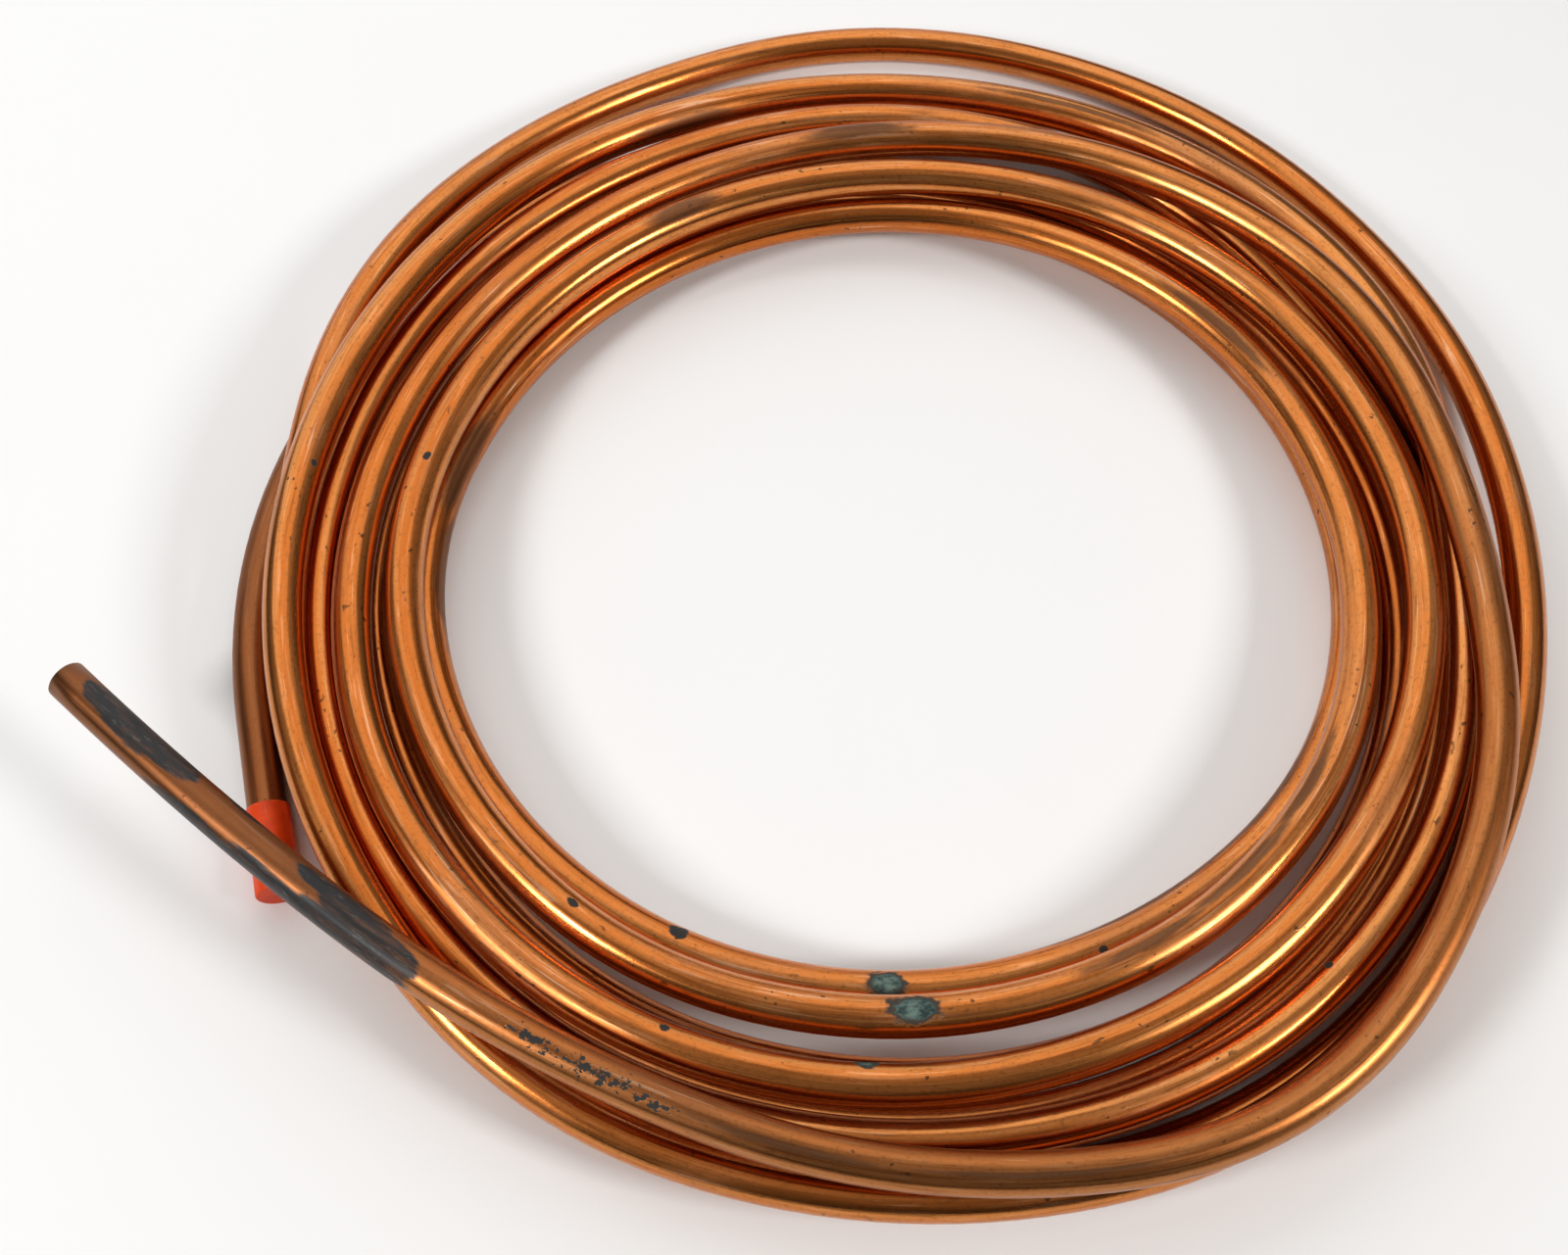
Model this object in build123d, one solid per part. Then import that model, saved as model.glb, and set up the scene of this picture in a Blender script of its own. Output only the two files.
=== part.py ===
from build123d import *
import os
from math import cos, pi, radians, sin, tan

# Soft copper tube in a loose coil, lying flat on the floor.
# One tube runs from a free, open end on top of the coil to a capped end on the floor.
# Millimetres, +Z up, origin on the floor, on the axis of the coil's eye.

# Tube stock
tube_diameter = 12.7
wall = 0.81
end_chamfer = 0.25

# Slip-on end cap
cap_length = 29.0
cap_wall = 0.5
cap_end_thickness = 1.5
cap_clearance = 0.1
cap_end_round = 0.7
cap_mouth_chamfer = 0.25
cap_floor_gap = 0.3

# Straight end of the tube, past the last station of the route
capped_run = 5.0

# The route has one station every 30 degrees, counted anticlockwise from +X.
# Each row below is one turn, from the free end inward over the top of the coil,
# and then outward along the floor to the capped end.
stations_per_turn = 12
first_station = 7

# The free end, springing out past the first station
free_end_station = 6.45
free_end_radius_share = 20.4
free_end_level_share = 3.35

# Distance of the tube's axis from the coil's axis, in tube diameters
route_radius_shares = (
    (17.1, 15.5, 16.1, 17.35, 15.85),
    (14.4, 14.5, 13.95, 13.3, 13.05, 13.2, 13.55, 14.1, 14.4, 14.25, 14.0, 13.6),
    (13.4, 13.0, 12.5, 12.0, 11.85, 12.0, 12.35, 12.6, 12.8, 12.6, 12.5, 12.25),
    (11.9, 11.6, 11.3, 11.4, 11.4, 11.6, 12.05, 12.0, 11.95, 11.75, 11.65, 11.95),
    (12.05, 12.05, 12.15, 12.3, 12.75, 13.3, 13.4, 13.35, 13.6, 13.6, 13.7, 13.45),
    (13.2, 13.1, 13.25, 13.6, 13.95, 14.5, 14.5, 14.65, 14.75, 14.75, 14.8, 14.5),
    (14.25, 14.2, 14.7, 14.8, 14.6, 14.55, 14.55, 14.9, 15.3, 15.25, 15.4, 15.0),
    (14.4, 15.85, 16.3, 16.35, 15.95, 15.05, 15.2, 15.65, 16.45, 16.5, 17.0, 16.1),
    (16.2, 17.5, 18.5, 19.0, 18.0, 16.4, 15.4, 15.7, 15.95, 16.0, 16.4, 16.25),
    (15.3, 15.35, 15.5, 15.4, 15.5, 15.9, 16.5, 16.7),
)

# Height of the tube's axis above the floor, in tube diameters
route_level_shares = (
    (3.4, 2.9, 2.55, 2.55, 2.75),
    (2.65, 2.7, 2.45, 2.2, 2.1, 2.05, 2.1, 2.3, 2.2, 2.2, 2.2, 2.3),
    (2.15, 2.1, 2.1, 2.1, 2.1, 2.1, 2.05, 2.05, 2.0, 2.0, 2.0, 2.0),
    (1.6, 1.6, 1.6, 1.2, 1.1, 1.05, 1.0, 1.1, 1.2, 1.2, 1.1, 0.9),
    (0.5, 0.5, 0.5, 0.5, 0.5, 0.5, 0.5, 0.5, 0.5, 0.5, 0.5, 0.5),
    (0.5, 0.5, 0.5, 0.5, 0.5, 0.5, 0.5, 0.5, 0.5, 0.5, 0.5, 0.5),
    (0.5, 0.5, 1.3, 1.5, 1.5, 1.6, 1.6, 1.55, 1.5, 1.4, 1.5, 1.5),
    (1.6, 1.5, 1.2, 1.05, 1.55, 2.65, 2.6, 2.4, 1.55, 1.45, 1.5, 1.7),
    (1.4, 0.5, 0.5, 0.5, 0.6, 2.1, 1.05, 0.8, 0.5, 0.5, 0.5, 0.5),
    (0.5, 0.5, 0.5, 0.5, 0.5, 0.5, 0.5),
)

# Part of the shorter of two runs that the bend between them may take up
bend_share = 0.49

tube_radius = tube_diameter / 2
bore_radius = tube_radius - wall
cap_bore_radius = tube_radius + cap_clearance
cap_outer_radius = cap_bore_radius + cap_wall
cap_level_share = (cap_outer_radius + cap_floor_gap) / tube_diameter


def route_point(station, radius_share, level_share):
    """Point at a station, with its distance and height given in tube diameters."""
    angle = radians(station * 360 / stations_per_turn)
    radius = radius_share * tube_diameter
    return Vector(radius * cos(angle), radius * sin(angle), level_share * tube_diameter)


def run_on(inner, outer, length):
    """Point at a length past the outer corner, straight on from the inner one."""
    return outer + (outer - inner).normalized() * length


def route_corners():
    """Corners of the route from the free end to the capped end.

    A corner lies outside its bend, so that the bends run at the stated distances.
    """
    radius_shares = [share for turn in route_radius_shares for share in turn]
    level_shares = [share for turn in route_level_shares for share in turn]
    level_shares.append(cap_level_share)
    corner_share = 1 / cos(radians(180 / stations_per_turn))
    corners = [route_point(free_end_station, free_end_radius_share, free_end_level_share)]
    for count, (radius_share, level_share) in enumerate(zip(radius_shares, level_shares)):
        corners.append(route_point(first_station + count, radius_share * corner_share, level_share))
    corners[-1] = run_on(corners[-2], corners[-1], capped_run)
    return corners


def bend_radii(corners):
    """Largest bend that fits between the runs on both sides of each inner corner."""
    radii = []
    runs = [after - before for before, after in zip(corners, corners[1:])]
    for run_in, run_out in zip(runs, runs[1:]):
        half_turn = radians(run_in.get_angle(run_out)) / 2
        radii.append(bend_share * min(run_in.length, run_out.length) / tan(half_turn))
    return radii


def copper_tube(route):
    """The tube's ring section swept along the route, with its free end's edge eased."""
    free_end = Plane(origin=route @ 0, z_dir=route % 0)
    section = Circle(tube_radius) - Circle(bore_radius)
    tube = sweep(free_end * section, path=route)
    cut_edge = tube.edges().filter_by(GeomType.CIRCLE).sort_by_distance(free_end.origin)[:2]
    outer_edge = cut_edge.sort_by(Edge.length)[-1]
    return chamfer(outer_edge, end_chamfer)


def end_cap(route):
    """A cup turned about the tube's axis, closed past the tube's end."""
    inner_depth = cap_length - cap_end_thickness
    half_section = Rectangle(cap_outer_radius, cap_length, align=(Align.MIN, Align.MIN))
    half_section -= Rectangle(cap_bore_radius, inner_depth, align=(Align.MIN, Align.MIN))
    corners = half_section.vertices()
    closed_corner = corners.sort_by_distance((cap_outer_radius, cap_length))[0]
    half_section = fillet(closed_corner, cap_end_round)
    corners = half_section.vertices()
    mouth_corner = corners.sort_by_distance((cap_outer_radius, 0))[0]
    half_section = chamfer(mouth_corner, cap_mouth_chamfer)
    cup = revolve(Plane.XZ * half_section, Axis.Z)
    tube_end = Plane(origin=route @ 1, z_dir=route % 1)
    return tube_end.offset(cap_clearance - inner_depth) * cup


route_points = route_corners()
tube_route = FilletPolyline(*route_points, radius=bend_radii(route_points))
nodes = {"copper_tube": copper_tube(tube_route), "end_cap": end_cap(tube_route)}

os.makedirs("parts", exist_ok=True)
for name, solid in nodes.items():
    export_step(solid, f"parts/{name}.step")

print("tube length", round(tube_route.length, 1))
print("least bend radius", round(min(bend_radii(route_points)), 1))
print("volume over section times length",
      round(nodes["copper_tube"].volume / (tube_route.length * pi * (tube_radius**2 - bore_radius**2)), 5))
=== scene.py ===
from math import cos, pi, radians, sin

import bpy
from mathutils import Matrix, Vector


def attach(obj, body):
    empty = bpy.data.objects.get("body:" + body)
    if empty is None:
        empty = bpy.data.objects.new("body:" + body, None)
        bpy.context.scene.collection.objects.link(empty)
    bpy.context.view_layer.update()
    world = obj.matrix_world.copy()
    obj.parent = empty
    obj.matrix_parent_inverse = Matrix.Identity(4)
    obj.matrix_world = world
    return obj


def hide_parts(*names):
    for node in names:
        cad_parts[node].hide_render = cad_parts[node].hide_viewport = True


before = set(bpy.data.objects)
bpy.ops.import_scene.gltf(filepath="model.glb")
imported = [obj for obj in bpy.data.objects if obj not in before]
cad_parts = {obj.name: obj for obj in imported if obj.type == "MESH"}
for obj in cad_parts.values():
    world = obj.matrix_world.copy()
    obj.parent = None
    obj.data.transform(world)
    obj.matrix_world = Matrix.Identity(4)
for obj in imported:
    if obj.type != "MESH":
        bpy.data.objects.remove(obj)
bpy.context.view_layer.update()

# Sizes of the tube and its cap, in metres, as in the CAD model
TUBE_DIAMETER = 0.0127
TUBE_WALL = 0.00081
END_CHAMFER = 0.00025
CAP_LENGTH = 0.029
CAP_WALL = 0.0005
CAP_END_THICKNESS = 0.0015
CAP_CLEARANCE = 0.0001
CAP_END_ROUND = 0.0007
CAP_FLOOR_GAP = 0.0003
CAPPED_RUN = 0.005

# The tube's route, as in the CAD model: one station for every 30 degrees and one row
# for each turn, counted from +X, in tube diameters from the coil's axis and above the floor
STATIONS_PER_TURN = 12
FIRST_STATION = 7
FREE_END_STATION = 6.45
FREE_END_RADIUS = 20.4
FREE_END_LEVEL = 3.35
ROUTE_RADII = (
    (17.1, 15.5, 16.1, 17.35, 15.85),
    (14.4, 14.5, 13.95, 13.3, 13.05, 13.2, 13.55, 14.1, 14.4, 14.25, 14.0, 13.6),
    (13.4, 13.0, 12.5, 12.0, 11.85, 12.0, 12.35, 12.6, 12.8, 12.6, 12.5, 12.25),
    (11.9, 11.6, 11.3, 11.4, 11.4, 11.6, 12.05, 12.0, 11.95, 11.75, 11.65, 11.95),
    (12.05, 12.05, 12.15, 12.3, 12.75, 13.3, 13.4, 13.35, 13.6, 13.6, 13.7, 13.45),
    (13.2, 13.1, 13.25, 13.6, 13.95, 14.5, 14.5, 14.65, 14.75, 14.75, 14.8, 14.5),
    (14.25, 14.2, 14.7, 14.8, 14.6, 14.55, 14.55, 14.9, 15.3, 15.25, 15.4, 15.0),
    (14.4, 15.85, 16.3, 16.35, 15.95, 15.05, 15.2, 15.65, 16.45, 16.5, 17.0, 16.1),
    (16.2, 17.5, 18.5, 19.0, 18.0, 16.4, 15.4, 15.7, 15.95, 16.0, 16.4, 16.25),
    (15.3, 15.35, 15.5, 15.4, 15.5, 15.9, 16.5, 16.7),
)
ROUTE_LEVELS = (
    (3.4, 2.9, 2.55, 2.55, 2.75),
    (2.65, 2.7, 2.45, 2.2, 2.1, 2.05, 2.1, 2.3, 2.2, 2.2, 2.2, 2.3),
    (2.15, 2.1, 2.1, 2.1, 2.1, 2.1, 2.05, 2.05, 2.0, 2.0, 2.0, 2.0),
    (1.6, 1.6, 1.6, 1.2, 1.1, 1.05, 1.0, 1.1, 1.2, 1.2, 1.1, 0.9),
    (0.5, 0.5, 0.5, 0.5, 0.5, 0.5, 0.5, 0.5, 0.5, 0.5, 0.5, 0.5),
    (0.5, 0.5, 0.5, 0.5, 0.5, 0.5, 0.5, 0.5, 0.5, 0.5, 0.5, 0.5),
    (0.5, 0.5, 1.3, 1.5, 1.5, 1.6, 1.6, 1.55, 1.5, 1.4, 1.5, 1.5),
    (1.6, 1.5, 1.2, 1.05, 1.55, 2.65, 2.6, 2.4, 1.55, 1.45, 1.5, 1.7),
    (1.4, 0.5, 0.5, 0.5, 0.6, 2.1, 1.05, 0.8, 0.5, 0.5, 0.5, 0.5),
    (0.5, 0.5, 0.5, 0.5, 0.5, 0.5, 0.5),
)

# Mesh fineness: line points for each station, sides of a ring, line points from one ring
# of the bore to the next, and the cap's rings as shares of each stretch of its outline
POINTS_PER_STATION = 14
SIDES = 32
BORE_RING_STEP = 3
CAP_SIDE_SHARES = (0.02, 0.25, 0.5, 0.75, 0.9, 1.0)
CAP_ROUND_STEPS = 6
CAP_END_SHARES = (0.75, 0.5, 0.25, 0.02)
CAP_INSIDE_SHARES = (0.02, 0.5, 0.96, 1.0)

# The photograph's camera: frame and focal length in pixels, sensor in millimetres, viewing
# angle in degrees below the horizon, and the pixel and distance at which the origin is seen
FRAME_WIDTH = 1600
FRAME_HEIGHT = 1281
FOCAL_PIXELS = 2000
SENSOR_WIDTH = 36.0
VIEW_ELEVATION = 61.0
ORIGIN_PIXEL = (905, 590)
ORIGIN_DISTANCE = 51.95 * TUBE_DIAMETER
CLIP_START = 0.01

# The floor's reach each way from the origin, in metres
FLOOR_REACH = 6.0

# Lamps: name, direction from the origin, distance and width in metres, watts, colour
LAMPS = (
    ("right_window", (0.72, -0.36, 0.6), 1.8, 0.4, 14, (1, 0.99, 0.97)),
    ("left_window", (-0.66, -0.42, 0.62), 1.8, 0.4, 14, (1, 0.99, 0.97)),
    ("back_window", (-0.3, 0.74, 0.66), 1.05, 1.5, 6.8, (0.97, 0.99, 1)),
)

# The room's own light: colour, strength low down and overhead, and share at the camera's side
ROOM_COLOUR = (1, 0.93, 0.86, 1)
ROOM_LIGHT_LOW = 0.06
ROOM_LIGHT_HIGH = 0.46
CAMERA_SIDE_SHARE = 0.4

tube_radius = TUBE_DIAMETER / 2
bore_radius = tube_radius - TUBE_WALL
cap_bore_radius = tube_radius + CAP_CLEARANCE
cap_outer_radius = cap_bore_radius + CAP_WALL


# Route of the tube


def route_point(station, radius, level):
    """Point at a station, with its distance and height given in tube diameters."""
    angle = radians(station * 360 / STATIONS_PER_TURN)
    around = Vector((cos(angle), sin(angle), 0))
    return (around * radius + Vector((0, 0, level))) * TUBE_DIAMETER


def route_points():
    """Control points of the route, from the free end to the capped end."""
    radii = [radius for turn in ROUTE_RADII for radius in turn]
    levels = [level for turn in ROUTE_LEVELS for level in turn]
    # The capped end is held off the floor by its cap and a small gap
    levels.append((cap_outer_radius + CAP_FLOOR_GAP) / TUBE_DIAMETER)
    # The line touches the edges between its control points, so the points stand further out
    widening = 1 / cos(pi / STATIONS_PER_TURN)
    points = [route_point(FREE_END_STATION, FREE_END_RADIUS, FREE_END_LEVEL)]
    for count, (radius, level) in enumerate(zip(radii, levels)):
        points.append(route_point(FIRST_STATION + count, radius * widening, level))
    last_run = points[-1] - points[-2]
    points.append(points[-1] + last_run.normalized() * CAPPED_RUN)
    return points


def spline_points(controls):
    """Points along a smooth NURBS line that the control points shape."""
    curve = bpy.data.curves.new("tube_route", "CURVE")
    curve.dimensions = "3D"
    curve.resolution_u = POINTS_PER_STATION
    spline = curve.splines.new("NURBS")
    spline.points.add(len(controls) - 1)
    for point, control in zip(spline.points, controls):
        point.co = (*control, 1)
    spline.order_u = 3
    spline.use_endpoint_u = True
    holder = bpy.data.objects.new("tube_route", curve)
    line = bpy.data.meshes.new_from_object(holder)
    points = [vertex.co.copy() for vertex in line.vertices]
    bpy.data.objects.remove(holder)
    bpy.data.curves.remove(curve)
    bpy.data.meshes.remove(line)
    return points


def tangents(points):
    """Unit direction of the line at each of its points."""
    ahead = points[1:] + points[-1:]
    behind = points[:1] + points[:-1]
    return [(after - before).normalized() for before, after in zip(behind, ahead)]


# Meshes


def ring(centre, tangent, radius):
    """Circle of points about the line, starting below and going round by the outside."""
    side = tangent.cross(Vector((0, 0, 1))).normalized()
    up = side.cross(tangent)
    points = []
    for step in range(SIDES):
        angle = 2 * pi * step / SIDES - pi / 2
        points.append(centre + (side * cos(angle) + up * sin(angle)) * radius)
    return points


def straightened(along, radius):
    """The same circle on the tube laid out straight, for materials to follow."""
    points = []
    for step in range(SIDES):
        angle = 2 * pi * step / SIDES - pi / 2
        points.append((along, cos(angle) * radius, sin(angle) * radius))
    return points


def skin(name, rings, straight_rings):
    """Closed mesh of rings, joined end to end into one loop of wall."""
    vertices = [point for circle in rings for point in circle]
    faces = []
    for count in range(len(rings)):
        here = count * SIDES
        there = (count + 1) % len(rings) * SIDES
        for step in range(SIDES):
            turn = (step + 1) % SIDES
            faces.append((here + step, here + turn, there + turn, there + step))
    mesh = bpy.data.meshes.new(name)
    mesh.from_pydata(vertices, [], faces)
    straight = mesh.attributes.new("straight", "FLOAT_VECTOR", "POINT")
    flat = [number for circle in straight_rings for point in circle for number in point]
    straight.data.foreach_set("vector", flat)
    for polygon in mesh.polygons:
        polygon.use_smooth = True
    piece = bpy.data.objects.new(name, mesh)
    bpy.context.collection.objects.link(piece)
    return piece


def tube_piece():
    """The hollow tube: outer wall, capped end, bore and eased free end."""
    centres = spline_points(route_points())
    directions = tangents(centres)
    lengths = [0.0]
    for before, after in zip(centres, centres[1:]):
        lengths.append(lengths[-1] + (after - before).length)
    rings = []
    straight_rings = []

    def add(index, radius, shift=0.0):
        """Ring of the wall at a point of the line, or a little past it."""
        centre = centres[index] + directions[index] * shift
        rings.append(ring(centre, directions[index], radius))
        straight_rings.append(straightened(lengths[index] + shift, radius))

    last = len(centres) - 1
    add(0, tube_radius - END_CHAMFER)
    add(0, tube_radius, END_CHAMFER)
    for index in range(1, last + 1):
        add(index, tube_radius)
    for index in range(last, 0, -BORE_RING_STEP):
        add(index, bore_radius)
    add(0, bore_radius)
    piece = skin("copper_tube_skin", rings, straight_rings)
    return piece, centres[last], directions[last], lengths[last]


def cap_piece(tube_end, direction):
    """The slip-on cap, a cup turned about the tube's end, from its mouth round to its inside."""
    inner_depth = CAP_LENGTH - CAP_END_THICKNESS
    start = CAP_CLEARANCE - inner_depth
    profile = [(start, cap_bore_radius), (start, cap_outer_radius)]
    straight_length = CAP_LENGTH - CAP_END_ROUND
    for share in CAP_SIDE_SHARES:
        profile.append((start + straight_length * share, cap_outer_radius))
    for step in range(1, CAP_ROUND_STEPS + 1):
        angle = step / CAP_ROUND_STEPS * pi / 2
        along = start + straight_length + CAP_END_ROUND * sin(angle)
        profile.append((along, cap_outer_radius - CAP_END_ROUND * (1 - cos(angle))))
    for share in CAP_END_SHARES:
        profile.append((start + CAP_LENGTH, cap_outer_radius * share))
    for share in CAP_INSIDE_SHARES:
        profile.append((start + inner_depth, cap_bore_radius * share))
    rings = [ring(tube_end + direction * along, direction, radius) for along, radius in profile]
    straight_rings = [straightened(along, radius) for along, radius in profile]
    return skin("end_cap_skin", rings, straight_rings)


# Materials

# Marks on the copper: place along the tube in metres, angle round it in degrees
# (0 outward, 90 up, 180 inward), half length along and half width, in millimetres
SOOT_MARKS = (
    (0.018, 120, 9, 4.4),
    (0.032, 114, 15, 5.2),
    (0.047, 122, 11, 4.6),
    (0.076, 165, 9, 2.6),
    (0.066, 20, 20, 3.0),
    (0.095, 24, 22, 4.0),
    (0.125, 30, 22, 5.0),
    (0.112, 120, 11, 3.2),
    (0.124, 100, 13, 5.0),
    (0.137, 70, 11, 5.0),
)
FLAKE_MARKS = (
    (0.186, 82, 9, 2.6),
    (0.206, 74, 13, 3.2),
    (0.224, 64, 9, 2.6),
)
SPOT_MARKS = (
    (3.348, 124, 3.4, 2.8),
    (2.367, 108, 2.0, 1.3),
    (1.378, 116, 1.6, 1.2),
    (3.477, 72, 1.5, 1.2),
    (6.844, 128, 1.5, 1.2),
    (7.615, 132, 1.5, 1.3),
    (2.191, 96, 1.8, 1.4),
)
VERDIGRIS_MARKS = (
    (3.412, 96, 4.8, 3.8),
    (2.473, 92, 6.6, 3.8),
    (1.437, 142, 3.0, 1.8),
)
SMUDGE_MARKS = (
    (2.053, 96, 16, 5),
    (0.910, 92, 22, 4.5),
    (3.142, 130, 30, 5),
    (3.185, 165, 34, 5),
    (0.262, 74, 34, 1.3),
    (0.330, 74, 40, 1.2),
    (3.500, 150, 45, 2.0),
    (3.555, 150, 40, 2.2),
    (2.545, 108, 27, 2.3),
    (2.585, 117, 28, 2.4),
    (2.622, 124, 26, 2.3),
    (7.249, 96, 40, 1.5),
    (7.403, 150, 26, 3),
    (2.813, 108, 30, 2.4),
)
FAR_FROM_MARKS = 10.0
MILLIMETRES_PER_METRE = 1000

# Browner and duller runs of tube: metres from its end where each starts to show and is full
CAPPED_BROWN_RUN = (0.26, 0.16)
FREE_BROWN_RUN = (0.19, 0.10)
# The long duller run from the free end lies on the outer turn at the camera's side: partly tarnish, partly
# painted shade
FREE_DULL_AND_SHADE_RUN = (0.85, 0.45)

# Colours
COPPER_DEEP = (0.60, 0.16, 0.028, 1)
COPPER_PALE = (0.74, 0.29, 0.082, 1)
COPPER_SHADE = (0.36, 0.10, 0.02, 1)
COPPER_DULL = (0.50, 0.21, 0.085, 1)
COPPER_GRAIN = (0.30, 0.095, 0.025, 1)
STREAK_DARK = (0.30, 0.09, 0.02, 1)
STREAK_PALE = (0.86, 0.42, 0.19, 1)
SCRATCH_PALE = (0.85, 0.50, 0.30, 1)
PIT_DARK = (0.05, 0.03, 0.02, 1)
END_BROWN = (0.16, 0.064, 0.03, 1)
SMUDGE_BROWN = (0.10, 0.05, 0.028, 1)
SOOT_BLACK = (0.013, 0.015, 0.017, 1)
SOOT_GREY = (0.15, 0.15, 0.145, 1)
SPOT_BLACK = (0.026, 0.024, 0.022, 1)
CRUST_BROWN = (0.05, 0.038, 0.028, 1)
VERDIGRIS_DARK = (0.016, 0.036, 0.034, 1)
VERDIGRIS_PALE = (0.13, 0.20, 0.175, 1)
PLASTIC_DEEP = (0.60, 0.034, 0.005, 1)
PLASTIC_PALE = (0.94, 0.092, 0.011, 1)
PLASTIC_SCUFF = (0.90, 0.26, 0.12, 1)
FLOOR_GREY = (0.91, 0.92, 0.93, 1)
FLOOR_WHITE = (0.93, 0.94, 0.95, 1)


def new_material(name):
    """New node material, with its tree and its shader."""
    material = bpy.data.materials.new(name)
    material.use_nodes = True
    tree = material.node_tree
    return material, tree, tree.nodes["Principled BSDF"]


def feed(tree, socket, value):
    """Give a socket a number, a colour or another node's output."""
    if isinstance(value, bpy.types.NodeSocket):
        tree.links.new(value, socket)
    else:
        socket.default_value = value


def calculate(tree, operation, first, second):
    """Math node on two numbers or outputs."""
    node = tree.nodes.new("ShaderNodeMath")
    node.operation = operation
    feed(tree, node.inputs[0], first)
    feed(tree, node.inputs[1], second)
    return node.outputs[0]


def vectors(tree, operation, first, second):
    """Vector math node with a vector result."""
    node = tree.nodes.new("ShaderNodeVectorMath")
    node.operation = operation
    feed(tree, node.inputs[0], first)
    feed(tree, node.inputs[1], second)
    return node.outputs["Vector"]


def remap(tree, value, low, high, low_result=0.0, high_result=1.0):
    """Smooth step of a value from one range to another."""
    node = tree.nodes.new("ShaderNodeMapRange")
    node.interpolation_type = "SMOOTHSTEP"
    feed(tree, node.inputs["Value"], value)
    node.inputs["From Min"].default_value = low
    node.inputs["From Max"].default_value = high
    node.inputs["To Min"].default_value = low_result
    node.inputs["To Max"].default_value = high_result
    return node.outputs["Result"]


def blend(tree, factor, first, second):
    """Mix of two colours."""
    node = tree.nodes.new("ShaderNodeMix")
    node.data_type = "RGBA"
    # The sockets for colours share their names with others, so they go by number
    feed(tree, node.inputs[0], factor)
    feed(tree, node.inputs[6], first)
    feed(tree, node.inputs[7], second)
    return node.outputs[2]


def noise(tree, place, scale, detail=3.0, roughness=0.55):
    """Noise at a place, with its scale on each axis in cells per metre."""
    node = tree.nodes.new("ShaderNodeTexNoise")
    feed(tree, node.inputs["Vector"], vectors(tree, "MULTIPLY", place, scale))
    node.inputs["Scale"].default_value = 1.0
    node.inputs["Detail"].default_value = detail
    node.inputs["Roughness"].default_value = roughness
    return node.outputs[0]


def marks_distance(tree, place, marks, radius):
    """Distance to the nearest mark as a share of its half size, so 1 at its edge."""
    nearest = FAR_FROM_MARKS
    for along, around, half_length, half_width in marks:
        angle = radians(around)
        centre = (along, radius * cos(angle), radius * sin(angle))
        across = MILLIMETRES_PER_METRE / half_width
        shrink = (MILLIMETRES_PER_METRE / half_length, across, across)
        offset = vectors(tree, "SUBTRACT", place, centre)
        scaled = vectors(tree, "MULTIPLY", offset, shrink)
        length = tree.nodes.new("ShaderNodeVectorMath")
        length.operation = "LENGTH"
        tree.links.new(scaled, length.inputs[0])
        nearest = calculate(tree, "MINIMUM", length.outputs["Value"], nearest)
    return nearest


def straight_place(tree):
    """Place on the piece laid out straight."""
    node = tree.nodes.new("ShaderNodeAttribute")
    node.attribute_name = "straight"
    return node.outputs["Vector"]


def add_bump(tree, shader, height, strength, depth):
    """Fine relief on a shader, its depth in metres."""
    node = tree.nodes.new("ShaderNodeBump")
    node.inputs["Strength"].default_value = strength
    node.inputs["Distance"].default_value = depth
    feed(tree, node.inputs["Height"], height)
    tree.links.new(node.outputs["Normal"], shader.inputs["Normal"])


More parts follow.
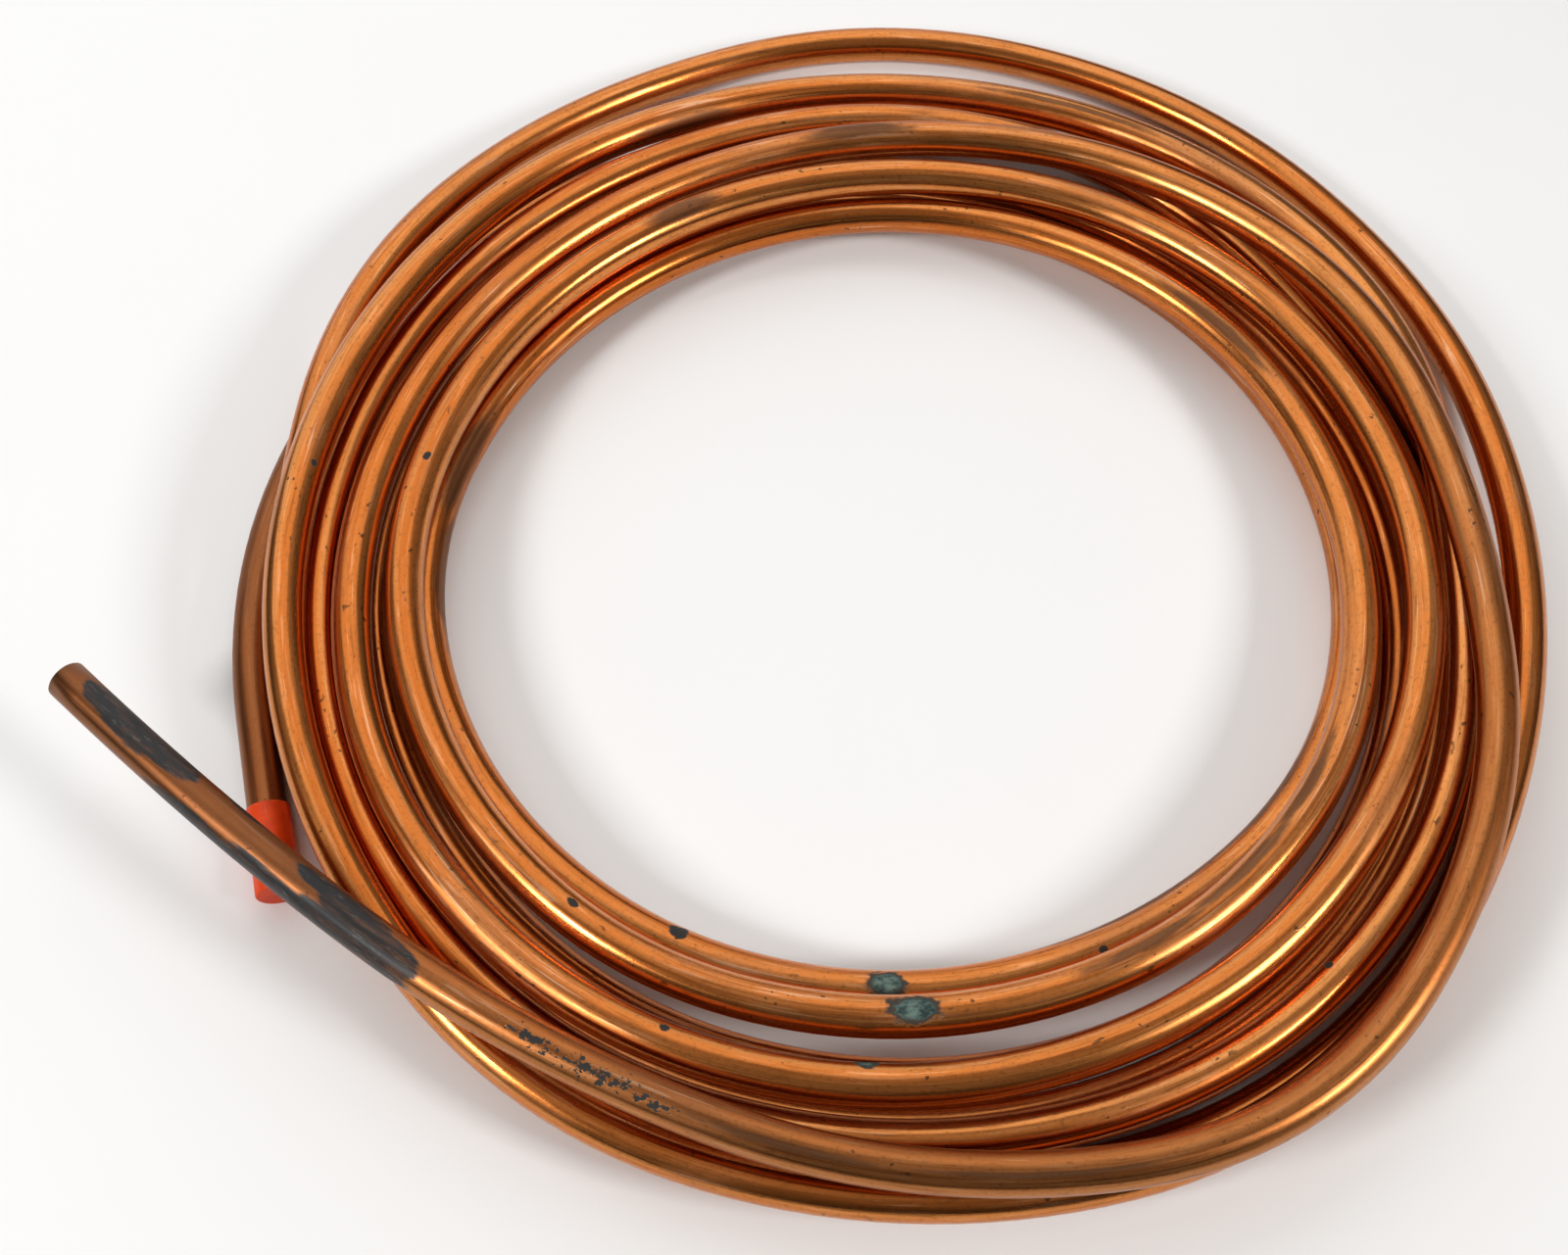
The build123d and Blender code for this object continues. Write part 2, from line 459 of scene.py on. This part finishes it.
def copper_material(tube_length):
    """Soft-drawn copper: draw lines, scratches, pits, browned ends, smudges, soot and verdigris."""
    material, tree, shader = new_material("soft_copper")
    place = straight_place(tree)
    place_parts = tree.nodes.new("ShaderNodeSeparateXYZ")
    tree.links.new(place, place_parts.inputs[0])
    along = place_parts.outputs["X"]

    # Bare metal, drawn lengthwise
    draw_lines = noise(tree, place, (7, 620, 620), 4, 0.65)
    broad_lines = noise(tree, place, (1.2, 170, 170), 2)
    cloud = noise(tree, place, (14, 70, 70), 4, 0.6)
    colour = blend(tree, remap(tree, broad_lines, 0.3, 0.7), COPPER_DEEP, COPPER_PALE)
    shade = remap(tree, draw_lines, 0.35, 0.62, 0.35, 0.0)
    colour = blend(tree, shade, colour, COPPER_SHADE)
    dull = remap(tree, cloud, 0.48, 0.72)
    colour = blend(tree, calculate(tree, "MULTIPLY", dull, 0.5), colour, COPPER_DULL)

    # Fine grain, scratches and pits
    grain = noise(tree, place, (700, 900, 900), 3, 0.6)
    colour = blend(tree, remap(tree, grain, 0.5, 0.75, 0.0, 0.6), colour, COPPER_GRAIN)
    streaks = noise(tree, place, (45, 1000, 1000), 3, 0.6)
    colour = blend(tree, remap(tree, streaks, 0.45, 0.3, 0.0, 0.6), colour, STREAK_DARK)
    colour = blend(tree, remap(tree, streaks, 0.56, 0.72, 0.0, 0.5), colour, STREAK_PALE)
    scratch_field = noise(tree, place, (26, 900, 900), 2, 0.5)
    scratches = remap(tree, scratch_field, 0.62, 0.68)
    scratched = calculate(tree, "MULTIPLY", scratches, remap(tree, cloud, 0.42, 0.6))
    colour = blend(tree, calculate(tree, "MULTIPLY", scratched, 0.6), colour, SCRATCH_PALE)
    pit_field = noise(tree, place, (420, 560, 560), 1, 0.4)
    pit_zone = noise(tree, place, (30, 120, 120), 2)
    pitted = remap(tree, pit_zone, 0.5, 0.62)
    pits = calculate(tree, "MULTIPLY", remap(tree, pit_field, 0.69, 0.75), pitted)
    colour = blend(tree, calculate(tree, "MULTIPLY", pits, 0.8), colour, PIT_DARK)

    # Browner tube towards both ends
    capped_start, capped_full = [tube_length - run for run in CAPPED_BROWN_RUN]
    capped_brown = remap(tree, along, capped_start, capped_full, 0.0, 0.7)
    free_brown = remap(tree, along, *FREE_BROWN_RUN, 0.0, 0.8)
    # Partly painted shade: the long duller run from the free end darkens the outer turn at the camera's
    # side
    free_dull_and_shade = remap(tree, along, *FREE_DULL_AND_SHADE_RUN, 0.0, 0.42)
    free_end_brown = calculate(tree, "MAXIMUM", free_brown, free_dull_and_shade)
    brown = calculate(tree, "MAXIMUM", capped_brown, free_end_brown)
    colour = blend(tree, brown, colour, END_BROWN)

    # Smudges and soot, with soft streaked edges
    ragged = noise(tree, place, (300, 420, 420), 5, 0.65)
    streaked = noise(tree, place, (70, 480, 480), 4, 0.6)
    soft_edge = calculate(tree, "MULTIPLY", calculate(tree, "SUBTRACT", streaked, 0.5), 1.1)
    smudge_edge = calculate(tree, "ADD", marks_distance(tree, place, SMUDGE_MARKS, tube_radius), soft_edge)
    smudge = remap(tree, smudge_edge, 1.15, 0.5, 0.0, 0.82)
    colour = blend(tree, smudge, colour, SMUDGE_BROWN)
    soot_wander = calculate(tree, "MULTIPLY", soft_edge, 0.6)
    soot_edge = calculate(tree, "ADD", marks_distance(tree, place, SOOT_MARKS, tube_radius), soot_wander)
    soot = remap(tree, soot_edge, 1.14, 0.94)
    flecks = remap(tree, noise(tree, place, (160, 900, 900), 4, 0.7), 0.56, 0.72, 0.0, 0.6)
    black = blend(tree, flecks, SOOT_BLACK, SOOT_GREY)
    thickness = remap(tree, streaked, 0.68, 0.45, 0.75, 0.98)
    colour = blend(tree, calculate(tree, "MULTIPLY", soot, thickness), colour, black)

    # Flakes, spots and verdigris, with ragged edges
    edge = calculate(tree, "MULTIPLY", calculate(tree, "SUBTRACT", ragged, 0.5), 1.6)
    flake_field = noise(tree, place, (380, 520, 520), 3, 0.7)
    broken = calculate(tree, "MULTIPLY", calculate(tree, "SUBTRACT", flake_field, 0.42), 5.0)
    flake_edge = calculate(tree, "ADD", marks_distance(tree, place, FLAKE_MARKS, tube_radius), broken)
    flakes = remap(tree, flake_edge, 1.0, 0.8)
    spot_edge = calculate(tree, "ADD", marks_distance(tree, place, SPOT_MARKS, tube_radius), edge)
    spots = calculate(tree, "MAXIMUM", remap(tree, spot_edge, 1.08, 0.8), flakes)
    colour = blend(tree, spots, colour, SPOT_BLACK)
    green_edge = calculate(tree, "ADD", marks_distance(tree, place, VERDIGRIS_MARKS, tube_radius), edge)
    rim = remap(tree, green_edge, 1.4, 1.05)
    green = remap(tree, green_edge, 0.95, 0.75)
    colour = blend(tree, rim, colour, CRUST_BROWN)
    mottled = blend(tree, remap(tree, ragged, 0.35, 0.65), VERDIGRIS_DARK, VERDIGRIS_PALE)
    colour = blend(tree, green, colour, mottled)
    tree.links.new(colour, shader.inputs["Base Color"])

    # Shine: clean metal is satin, and soot, spots and crusts are matt and hardly metal
    crust = calculate(tree, "MAXIMUM", spots, rim)
    dark = calculate(tree, "MAXIMUM", crust, soot)
    bare = calculate(tree, "SUBTRACT", 1.0, calculate(tree, "MULTIPLY", dark, 0.9))
    tree.links.new(bare, shader.inputs["Metallic"])
    tree.links.new(remap(tree, dark, 0.0, 1.0, 0.5, 0.35), shader.inputs["Specular IOR Level"])
    satin = remap(tree, draw_lines, 0.3, 0.7, 0.16, 0.34)
    worn = calculate(tree, "ADD", satin, calculate(tree, "MULTIPLY", dull, 0.16))
    browned = calculate(tree, "ADD", worn, calculate(tree, "MULTIPLY", brown, 0.16))
    smudged = calculate(tree, "ADD", browned, calculate(tree, "MULTIPLY", smudge, 0.15))
    sooty = calculate(tree, "MAXIMUM", smudged, calculate(tree, "MULTIPLY", soot, 0.42))
    roughness = calculate(tree, "MAXIMUM", sooty, calculate(tree, "MULTIPLY", crust, 0.65))
    tree.links.new(roughness, shader.inputs["Roughness"])

    # Relief: shallow dents, draw lines, grain, scratches, pits and crusts
    dents = calculate(tree, "MULTIPLY", noise(tree, place, (34, 95, 95), 2), 1.7)
    drawn = calculate(tree, "ADD", calculate(tree, "MULTIPLY", draw_lines, 0.3), dents)
    lines = calculate(tree, "ADD", drawn, calculate(tree, "MULTIPLY", grain, 0.35))
    grooves = calculate(tree, "MULTIPLY", scratched, 0.25)
    cut = calculate(tree, "ADD", grooves, calculate(tree, "MULTIPLY", pits, 0.5))
    crusted = calculate(tree, "MULTIPLY", crust, calculate(tree, "ADD", ragged, 0.4))
    height = calculate(tree, "ADD", calculate(tree, "SUBTRACT", lines, cut), crusted)
    add_bump(tree, shader, height, strength=0.3, depth=0.00012)
    return material


def cap_material():
    """Dip-moulded plastic: soft sheen, faint mottling and scuffs."""
    material, tree, shader = new_material("orange_plastic")
    place = straight_place(tree)
    mottle = noise(tree, place, (260, 260, 260), 4)
    colour = blend(tree, mottle, PLASTIC_DEEP, PLASTIC_PALE)
    scuff_field = noise(tree, place, (60, 900, 900), 3)
    scuffs = remap(tree, scuff_field, 0.62, 0.75, 0.0, 0.25)
    colour = blend(tree, scuffs, colour, PLASTIC_SCUFF)
    tree.links.new(colour, shader.inputs["Base Color"])
    tree.links.new(remap(tree, mottle, 0.3, 0.7, 0.34, 0.48), shader.inputs["Roughness"])
    shader.inputs["Specular IOR Level"].default_value = 0.22
    shader.inputs["Subsurface Weight"].default_value = 0.04
    shader.inputs["Subsurface Radius"].default_value = (0.004, 0.0012, 0.0006)
    waves = noise(tree, place, (90, 160, 160), 2)
    height = calculate(tree, "ADD", waves, calculate(tree, "MULTIPLY", scuffs, 0.3))
    add_bump(tree, shader, height, strength=0.3, depth=0.0003)
    return material


def floor_material():
    """White painted board with a faint grain."""
    material, tree, shader = new_material("pale_floor")
    place = tree.nodes.new("ShaderNodeTexCoord").outputs["Object"]
    grain = noise(tree, place, (9, 9, 9), 3)
    tone = blend(tree, grain, FLOOR_GREY, FLOOR_WHITE)
    tree.links.new(tone, shader.inputs["Base Color"])
    tree.links.new(remap(tree, grain, 0.3, 0.7, 0.55, 0.65), shader.inputs["Roughness"])
    tooth = noise(tree, place, (700, 700, 700), 2)
    add_bump(tree, shader, tooth, strength=0.05, depth=0.0002)
    return material


# Scene


def add_floor():
    """Plain pale floor under the coil."""
    reach = FLOOR_REACH
    mesh = bpy.data.meshes.new("floor")
    corners = [(-reach, -reach, 0), (reach, -reach, 0), (reach, reach, 0), (-reach, reach, 0)]
    mesh.from_pydata(corners, [], [(0, 1, 2, 3)])
    floor = bpy.data.objects.new("floor", mesh)
    bpy.context.collection.objects.link(floor)
    mesh.materials.append(floor_material())


def add_camera():
    """Camera at the photograph's angle, placed so that the origin falls on its pixel."""
    data = bpy.data.cameras.new("camera")
    data.sensor_fit = "HORIZONTAL"
    data.sensor_width = SENSOR_WIDTH
    data.lens = SENSOR_WIDTH * FOCAL_PIXELS / FRAME_WIDTH
    data.clip_start = CLIP_START
    camera = bpy.data.objects.new("camera", data)
    bpy.context.collection.objects.link(camera)
    camera.rotation_euler = (radians(90 - VIEW_ELEVATION), 0, 0)
    down = radians(VIEW_ELEVATION)
    forward = Vector((0, cos(down), -sin(down)))
    upward = Vector((0, sin(down), cos(down)))
    right = Vector((1, 0, 0))
    across = (ORIGIN_PIXEL[0] - FRAME_WIDTH / 2) / FOCAL_PIXELS
    below = (ORIGIN_PIXEL[1] - FRAME_HEIGHT / 2) / FOCAL_PIXELS
    camera.location = (forward + right * across - upward * below) * -ORIGIN_DISTANCE
    bpy.context.scene.camera = camera


def add_area(name, direction, distance, size, power, colour):
    """Square soft light that faces the coil."""
    data = bpy.data.lights.new(name, "AREA")
    data.size = size
    data.energy = power
    data.color = colour
    light = bpy.data.objects.new(name, data)
    bpy.context.collection.objects.link(light)
    place = Vector(direction).normalized() * distance
    light.location = place
    light.rotation_euler = (-place).to_track_quat("-Z", "Y").to_euler()


def add_lights():
    """Soft windows at both sides and beyond the coil, in a room darker low down and at the camera."""
    for lamp in LAMPS:
        add_area(*lamp)
    world = bpy.data.worlds.new("room")
    world.use_nodes = True
    tree = world.node_tree
    direction = tree.nodes.new("ShaderNodeTexCoord").outputs["Generated"]
    parts = tree.nodes.new("ShaderNodeSeparateXYZ")
    tree.links.new(direction, parts.inputs[0])
    by_height = remap(tree, parts.outputs["Z"], 0.0, 1.0, ROOM_LIGHT_LOW, ROOM_LIGHT_HIGH)
    by_side = remap(tree, parts.outputs["Y"], -0.7, 0.3, CAMERA_SIDE_SHARE, 1.0)
    strength = calculate(tree, "MULTIPLY", by_height, by_side)
    background = tree.nodes["Background"]
    background.inputs["Color"].default_value = ROOM_COLOUR
    tree.links.new(strength, background.inputs["Strength"])
    bpy.context.scene.world = world


tube, tube_end, end_direction, tube_length = tube_piece()
tube.data.materials.append(copper_material(tube_length))
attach(tube, "root")
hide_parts("copper_tube")

cap = cap_piece(tube_end, end_direction)
cap.data.materials.append(cap_material())
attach(cap, "root")
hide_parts("end_cap")

add_floor()
add_camera()
add_lights()
bpy.context.scene.view_settings.view_transform = "Standard"
